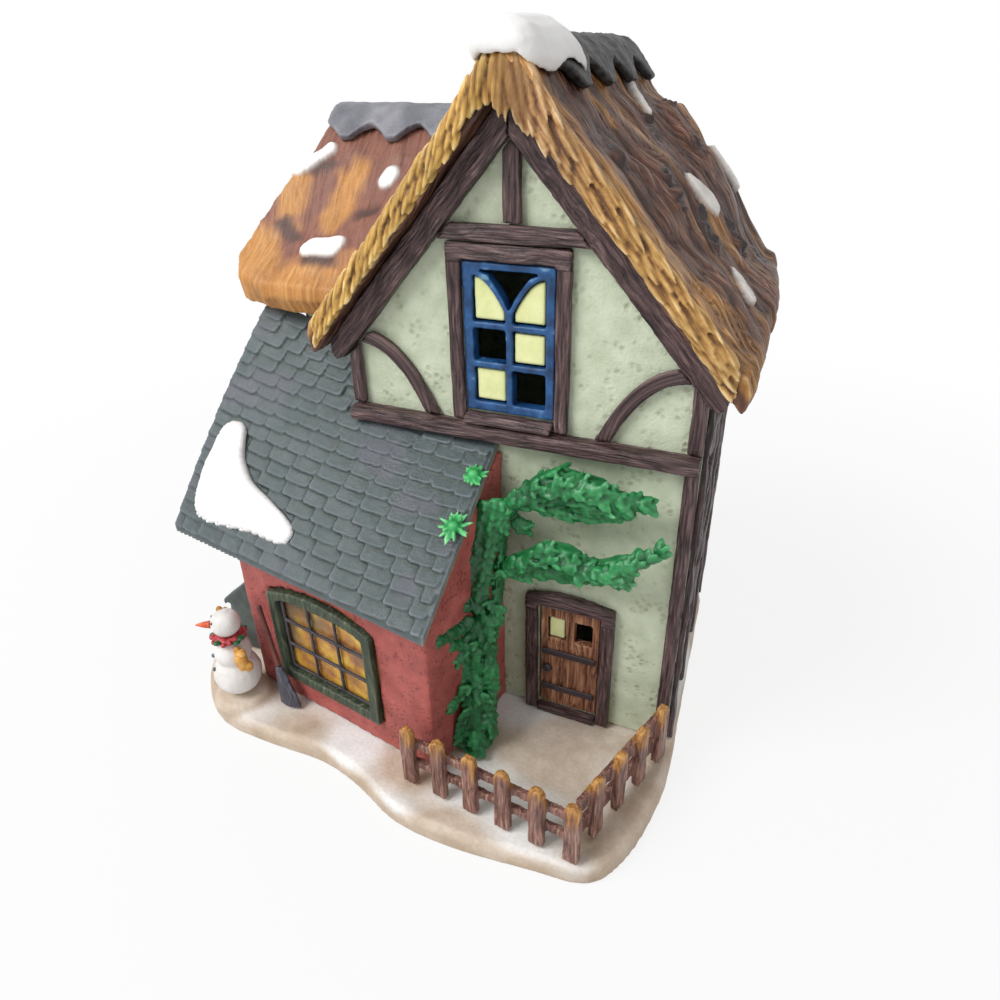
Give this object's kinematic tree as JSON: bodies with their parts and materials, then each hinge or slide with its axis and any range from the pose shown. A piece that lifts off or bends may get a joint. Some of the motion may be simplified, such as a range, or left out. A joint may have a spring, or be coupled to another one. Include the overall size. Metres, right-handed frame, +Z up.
{
  "type": "lighted village shop",
  "caption": "Half-timbered porcelain village shop under thatch, with a slate lean-to, fenced snow base, evergreen, snowman and a lamp put in from behind.",
  "frame": {"origin": "on the table plane under the middle of the gable front", "axes": "+X to the right of someone facing the door, +Y towards the back of the house, +Z up"},
  "size_m": [0.1403, 0.1217, 0.1616],
  "materials": {
    "snow_base": "matt painted bisque",
    "sage_stucco": "matt painted bisque, pitted",
    "brick_red": "matt painted bisque",
    "slate": "satin painted bisque",
    "thatch": "painted bisque, combed",
    "ridge_grey": "painted bisque",
    "dark_timber": "satin painted bisque, grained",
    "casement_blue": "satin painted bisque",
    "pale_yellow": "painted bisque",
    "door_brown": "painted bisque",
    "iron_black": "painted bisque",
    "window_green": "painted bisque",
    "leading": "painted bisque",
    "amber": "painted bisque",
    "evergreen": "painted bisque, needled",
    "bright_green": "painted bisque",
    "fence_brown": "painted bisque",
    "snow_white": "satin white bisque",
    "carrot": "painted bisque",
    "holly": "painted bisque",
    "tan": "painted bisque",
    "broom_grey": "painted bisque",
    "white_plastic": "moulded",
    "spring_steel": "rolled",
    "brass": "bright",
    "bulb_glass": "clear"
  },
  "bodies": {
    "house": {"base": "snow_base", "house_shell": "sage_stucco", "wing_shell": "sage_stucco", "shop_walls": "brick_red", "side_shed": "slate", "main_thatch": "thatch", "wing_thatch": "thatch", "ridge_cap_main": "ridge_grey", "ridge_cap_wing": "ridge_grey", "slate_roof": "slate", "barge_left": "dark_timber", "barge_right": "dark_timber", "king_post": "dark_timber", "collar_beam": "dark_timber", "jetty_beam": "dark_timber", "window_surround": "dark_timber", "window_sill": "dark_timber", "brace_left": "dark_timber", "brace_right": "dark_timber", "corner_post_left": "dark_timber", "corner_post_right": "dark_timber", "corner_post_lower": "dark_timber", "casement_frame": "casement_blue", "casement_pane_upper_left": "pale_yellow", "casement_pane_upper_right": "pale_yellow", "casement_pane_right": "pale_yellow", "casement_pane_left": "pale_yellow", "door_frame": "dark_timber", "door_leaf": "door_brown", "door_pane": "pale_yellow", "door_strap_upper": "iron_black", "door_strap_lower": "iron_black", "door_latch": "iron_black", "door_step": "dark_timber", "shop_window_frame": "window_green", "shop_window_leading": "leading", "shop_window_glazing": "amber", "tree_trunk": "evergreen", "branch_upper": "evergreen", "branch_lower": "evergreen", "roof_sprig_upper": "bright_green", "roof_sprig_lower": "bright_green", "fence_front": "fence_brown", "fence_side": "fence_brown", "snowman_body": "snow_white", "snowman_head": "snow_white", "snowman_nose": "carrot", "snowman_collar": "holly", "snowman_mitten": "tan", "broom_handle": "fence_brown", "broom_head": "broom_grey", "ridge_snow": "snow_white", "slate_snow": "snow_white"},
    "lamp": {"lamp_holder": "white_plastic", "holder_clip_upper": "spring_steel", "holder_clip_lower": "spring_steel", "holder_sleeve": "brass", "holder_contact": "brass"},
    "bulb": {"bulb_cap": "brass", "bulb_glass": "bulb_glass"}
  },
  "joints": [
    {"name": "lamp_slide", "type": "slide", "parent": "house", "child": "lamp", "axis": [0, 1, 0], "range_m": [0, 0.08]},
    {"name": "bulb_turn", "type": "hinge", "parent": "lamp", "child": "bulb", "pos_m": [-0.0022, 0.05, 0.025], "axis": [0, 1, 0], "continuous": true}
  ]
}
